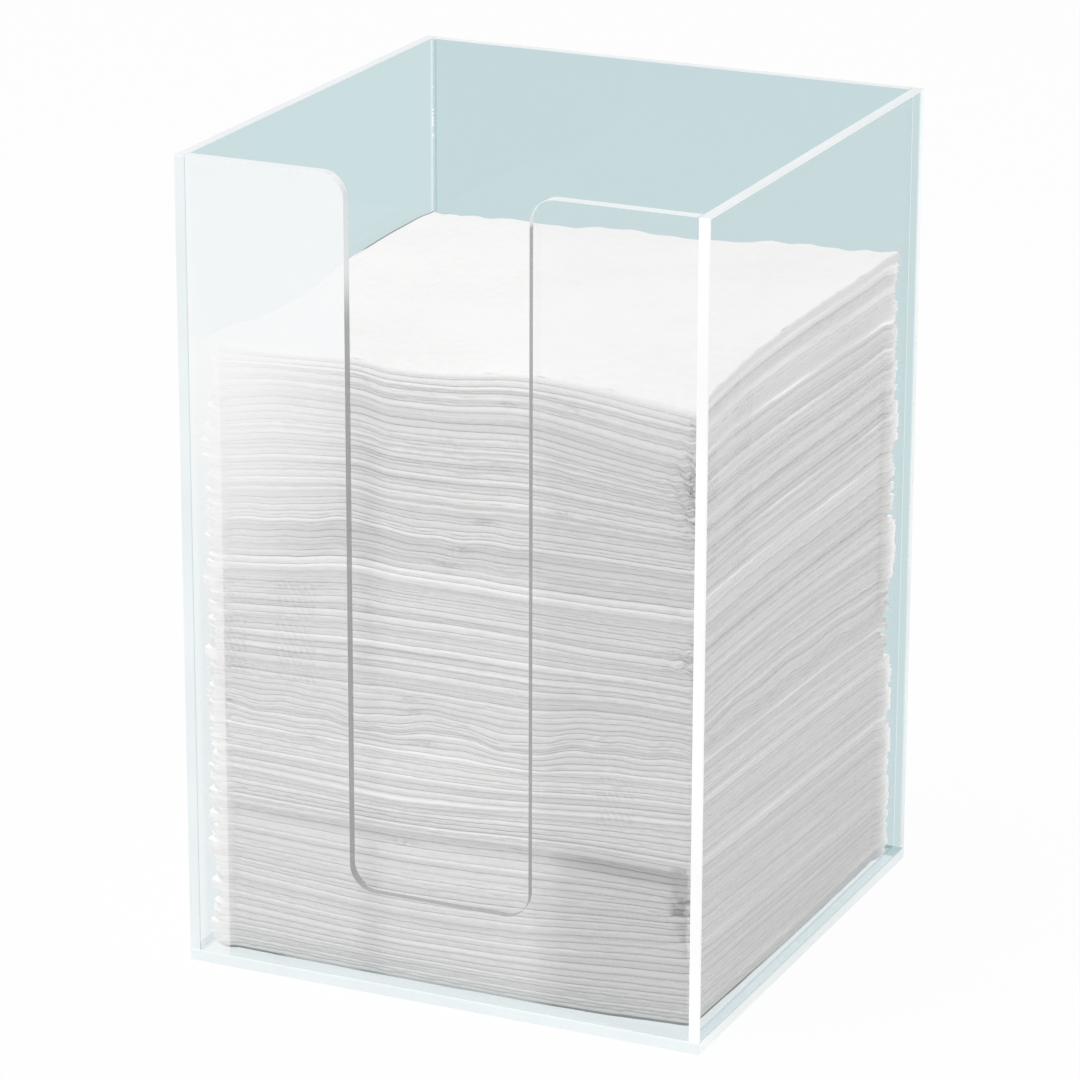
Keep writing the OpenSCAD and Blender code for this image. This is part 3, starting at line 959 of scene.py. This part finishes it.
def ring_tone_and_shade(n, px, py):
    """How dark the paper is along the rings, below zero where it shines, and how crumpled it is. Beside a
    little random tone from napkin to napkin, the darkness is painted shade and the shine painted light.
    """
    i, scatter = n.i, n.scatter
    layer = i + n.shares
    at_front, at_right = n.sides == "front", n.sides == "right"
    past_slot = ramp(px, 92, 6)
    shade = np.interp(i, *PACK_SHADES) + 0.08 * np.tanh(scatter.normal(0, 0.8)) + 0 * px
    # Painted light and shade: the lines along the front and along the right side
    for table, station, here, gain, high_gain in (
            (LINES, 4, at_front, 0.75, 0.75), (SIDE_LINES, 8, at_right, 2.0, 0.7)):
        heights = [FRONT_HEIGHTS[c][station] for c in COUNTS]
        for height, dark, width in table:
            fade = (high_gain if height > 150 else gain) * (0.7 + 0.3 * np.sin((px + py) / 11 + height))
            fade = fade * (1 - 0.35 * past_slot * at_front - 0.2 * ramp(px, 46, -6))
            shade = shade + here * dark * fade * hump(layer, np.interp(height, heights, COUNTS), width)
    # Painted shade and light: soft dark patches beside the slot for the shadow of its cut edge, darker
    # folds to the right of it, most of all low down, where less light falls, paler ones high on the left,
    # and puckers a little darker
    beside = hump(px, 49, 3.5) * (0.1 if i > 84 else 0.45 if i < 22 or i > 48 else 0.2)
    low_right = 0.85 * ramp(px, 92, 25) * hump(i, 15, 8)
    corner_dark = 1.5 * n.loose * scatter.uniform(0.3, 1) * hump(n.to_corner, 0, 3.2)
    under_pack = 0.42 * hump(layer, 21.0, 1.2) * ramp(px, 95, 25)
    high_left = 0.2 * ramp(px, 44, -10) * ramp(i, 60, 20)
    patches = beside + (0.4 if i > 88 else 0.5) * past_slot + low_right - high_left
    shade = shade + patches * at_front + 0.1 * n.pucker
    # A dark band near the back of the right side, which is paler high up
    band = 0.45 * (40 < i < 76) * hump(py, 127, 1.8)
    high_right = 0.18 - 0.34 * ramp(i, 58, 20)
    shade = shade + (band + high_right + 0.3 * math.tanh(scatter.normal(0, 1))) * at_right
    shade = np.minimum(shade, 1.2 + 0.2 * ramp(px, 92, 10) * ramp(i, 24, -3) * at_front)
    # Painted shadow in the gaps between frayed ends, under the second pack and in the crumpled front right
    # corner
    gaps = np.full((len(px), 1), 0.35)
    gaps[[n.fold - 2, n.fold + 2, n.fold + len(FOLD) - 3]] = 1.0
    shade = np.minimum(
        shade + (under_pack + 0.6 * gaps * n.frayed) * at_front + 0.25 * corner_dark, 1.6)
    # Painted light: leaves that stand alone are painted bright, for light that comes through the thin paper
    shade = shade * (1 - n.leafy) + n.leafy * (0.1 - 1.6 * np.clip(n.reach.mean(axis=0) / 5, 0, 0.7))
    # Painted shadow: a dark line along the foot of the lowest napkin, at the front left and along the right
    # side near the front
    if i == 0:
        shade[n.fold + 3:] += (0.6 + 1.2 * ramp(px[n.fold], 26, -8)) * at_front
        shade[n.fold + 2:] += 1.3 * ramp(py[n.fold], 65, -50) * at_right
    if n.top:
        # The top napkin is plain paper, with a painted shadow: a dark line along its edge at the back left
        shade = PLAIN_SHADE + 0 * shade
        shade[n.fold - 4:] += 2.0 * (ramp(py[n.fold], 86, 8) * (n.sides == "left")
                                     + ramp(px[n.fold], 11, -4) * (n.sides == "back"))
    # The flat faces are plain paper, and only what lies near the edges carries the tone and the painted
    # light and shade
    near_edge = ramp(n.keeps, 0.93, 0.045)
    near_corner = np.exp(-n.to_corner / 3.5) * min(n.crushed + 0.7 * n.loose, 1)
    crumpled = np.clip(near_corner + n.pucker, 0, 1) * near_edge * (not n.top)
    return PLAIN_SHADE + (shade - PLAIN_SHADE) * near_edge, crumpled


def napkin_points(i, shell, upper, lower, look):
    """Places of a shell's vertices for napkin i, with how dark and how crumpled the paper is at each, and
    its place in a stack that were flat."""
    _, rings, places = shell
    n = napkin_edges(i, upper, lower, look)
    px, py, pz = ring_places(n, look)
    shade, crumple = ring_tone_and_shade(n, px, py)
    on_ring = rings < len(px)
    at = rings[on_ring], places[on_ring]
    points, flat = np.zeros((2, len(rings), 3))
    shades, crumpled = np.full(len(rings), PLAIN_SHADE), np.zeros(len(rings))
    points[on_ring] = np.stack([px[at], py[at], pz[at]], axis=1)
    flat[on_ring] = np.stack([px[at], py[at], FLAT_PITCH * (i + n.shares)[at]], axis=1)
    shades[on_ring], crumpled[on_ring] = shade[at], crumple[at]
    middle = np.array([(n.left + n.right) / 2]), np.array([(n.front + n.back) / 2])
    for mark, count, side in ((len(px), i + 1, -1), (len(px) + 1, i, 1)):
        height = level(count, *middle) + rumple(count, *middle) + side * look.gap / MM
        points[rings == mark] = np.concatenate([*middle, height])
        flat[rings == mark] = np.concatenate([*middle, [FLAT_PITCH * count]])
    points = (points - np.array([BOX_MIDDLE, BOX_MIDDLE, 0.0])) * MM
    return points, np.clip(shades, -1, 2), crumpled, flat * MM


def napkin_piece(name, napkins, shell, upper, lower, material, node, look):
    """A piece of one or two napkins that stands for a node."""
    bm = bmesh.new()
    for _ in napkins:
        bm.from_mesh(shell[0])
    mesh = bpy.data.meshes.new(name)
    bm.to_mesh(mesh)
    bm.free()
    made = [napkin_points(i, shell, upper, lower, look) for i in napkins]
    points = np.concatenate([m[0] for m in made])
    mesh.vertices.foreach_set("co", points.ravel())
    for k, name_of in ((1, "leaf_shade"), (2, "crumple")):
        values = mesh.attributes.new(name_of, "FLOAT", "POINT")
        values.data.foreach_set("value", np.concatenate([m[k] for m in made]))
    flat = mesh.attributes.new("flat_place", "FLOAT_VECTOR", "POINT")
    flat.data.foreach_set("vector", np.concatenate([m[3] for m in made]).ravel())
    mesh.update()
    return add_mesh(name, mesh, [material], BODY_OF[node], (node,), True)


class HOLDER_OT_napkins(bpy.types.Operator):
    """Build the folded napkins of the stack, two to a piece"""

    bl_idname = "holder.napkins"
    bl_label = "Build the napkins"

    def execute(self, context):
        look = context.scene.holder_napkins
        material = bpy.data.materials.get("napkin_tissue") or paper_finish(look)
        shell = napkin_shell(len(INNER), len(INNER))
        for k, node in enumerate(PAIRS):
            napkin_piece("folded_" + node, (2 * k, 2 * k + 1), shell, INNER, INNER, material, node, look)
        bpy.data.meshes.remove(shell[0])
        return {"FINISHED"}


class HOLDER_OT_top_napkin(bpy.types.Operator):
    """Build the loose napkin on top of the stack"""

    bl_idname = "holder.top_napkin"
    bl_label = "Build the top napkin"

    def execute(self, context):
        look = context.scene.holder_napkins
        material = bpy.data.materials.get("napkin_tissue") or paper_finish(look)
        shell = napkin_shell(len(TOP_INNER), len(INNER))
        napkin_piece("folded_top_napkin", (NAPKINS - 1,), shell, TOP_INNER, INNER, material,
                     "top_napkin", look)
        bpy.data.meshes.remove(shell[0])
        return {"FINISHED"}


# Studio


def white_where_seen(f, lit, white):
    """lit for light that falls on the object, and white where the camera, a mirror or glass sees it."""
    camera, glossy, through = f.node(
        "ShaderNodeLightPath", out=("Is Camera Ray", "Is Glossy Ray", "Is Transmission Ray"))
    return f.mix(f.between(camera + glossy + through, 0.0, 1.0), lit, white)


def soft_lamp(context, name, size, power, place):
    """A round lamp that looks at the middle of the box."""
    lamp = bpy.data.lights.new(name, "AREA")
    lamp.shape = "DISK"
    lamp.size = size
    lamp.energy = power
    made = bpy.data.objects.new(name, lamp)
    made.location = place
    middle = Vector((0, 0, 0.1))
    made.rotation_euler = (middle - made.location).to_track_quat("-Z", "Y").to_euler()
    context.scene.collection.objects.link(made)


class HOLDER_OT_stage(bpy.types.Operator):
    """Build the floor, the lamps, the surroundings and the camera"""

    bl_idname = "holder.stage"
    bl_label = "Build the stage"

    def execute(self, context):
        look = context.scene.holder_studio
        bm = bmesh.new()
        bmesh.ops.create_grid(bm, x_segments=4, y_segments=4, size=6.0)
        mesh = bpy.data.meshes.new("floor")
        bm.to_mesh(mesh)
        bm.free()
        floor = bpy.data.objects.new("floor", mesh)
        context.scene.collection.objects.link(floor)
        f = Finish("pale_floor")
        lit = f.film(f.blend(f.noise(f.place(), 3.0), (0.9, 0.9, 0.9), (0.92, 0.92, 0.92)))
        white = f.node("ShaderNodeEmission", inputs={"Color": WHITE, "Strength": 1.0})
        mesh.materials.append(f.surface(white_where_seen(f, lit, f.mix(0.95, lit, white))))

        sky = Finish("studio", "worlds")
        around, white = (sky.node("ShaderNodeBackground", inputs={"Color": WHITE, "Strength": strength})
                         for strength in (look.sky, 1.0))
        context.scene.world = sky.surface(white_where_seen(sky, around, white), "ShaderNodeOutputWorld")
        soft_lamp(context, "key_softbox", 1.1, look.key, (-0.4, -0.55, 1.85))
        soft_lamp(context, "fill_softbox", 0.6, look.fill, (0.9, -0.1, 1.8))

        camera = bpy.data.cameras.new("camera")
        camera.sensor_width = 36.0
        camera.lens = look.lens
        camera.clip_start, camera.clip_end = 0.05, 20.0
        eye = bpy.data.objects.new("camera", camera)
        yaw, pitch, roll = look.camera_turn
        back = Vector((math.sin(yaw) * math.cos(pitch), -math.cos(yaw) * math.cos(pitch), math.sin(pitch)))
        side = Vector((math.cos(yaw), math.sin(yaw), 0.0))
        up = back.cross(side)
        across = math.cos(roll) * side + math.sin(roll) * up
        upright = math.cos(roll) * up - math.sin(roll) * side
        turn = Matrix((across, upright, back)).transposed().to_4x4()
        eye.matrix_world = Matrix.Translation(look.camera_at) @ turn
        context.scene.collection.objects.link(eye)
        context.scene.camera = eye
        context.scene.view_settings.view_transform = "Standard"
        return {"FINISHED"}


class HOLDER_PT_builder(bpy.types.Panel):
    """Lists the steps and their settings"""

    bl_idname = "HOLDER_PT_builder"
    bl_label = "Napkin holder"
    bl_space_type = "VIEW_3D"
    bl_region_type = "UI"
    bl_category = "Holder"

    def draw(self, context):
        for group, step in STEPS:
            settings = getattr(context.scene, group)
            box = self.layout.box()
            for name in settings.bl_rna.properties.keys():
                if name not in ("rna_type", "name"):
                    box.prop(settings, name)
            for one in step:
                box.operator(one.bl_idname)


STEPS = (
    ("holder_sheets", (HOLDER_OT_sheets, HOLDER_OT_seams)),
    ("holder_napkins", (HOLDER_OT_napkins, HOLDER_OT_top_napkin)),
    ("holder_studio", (HOLDER_OT_stage,)),
)
GROUPS = {"holder_sheets": SheetLook, "holder_napkins": NapkinLook, "holder_studio": StudioLook}
CLASSES = (*GROUPS.values(), *(one for _, step in STEPS for one in step), HOLDER_PT_builder)


def register():
    for cls in CLASSES:
        bpy.utils.register_class(cls)
    for name, group in GROUPS.items():
        setattr(bpy.types.Scene, name, PointerProperty(type=group))


def unregister():
    for name in GROUPS:
        delattr(bpy.types.Scene, name)
    for cls in reversed(CLASSES):
        bpy.utils.unregister_class(cls)


def main():
    register()
    bpy.ops.holder.stage()
    bpy.ops.holder.sheets()
    bpy.ops.holder.seams()
    bpy.ops.holder.napkins()
    bpy.ops.holder.top_napkin()
    bpy.context.view_layer.update()


if __name__ == "__main__":
    main()
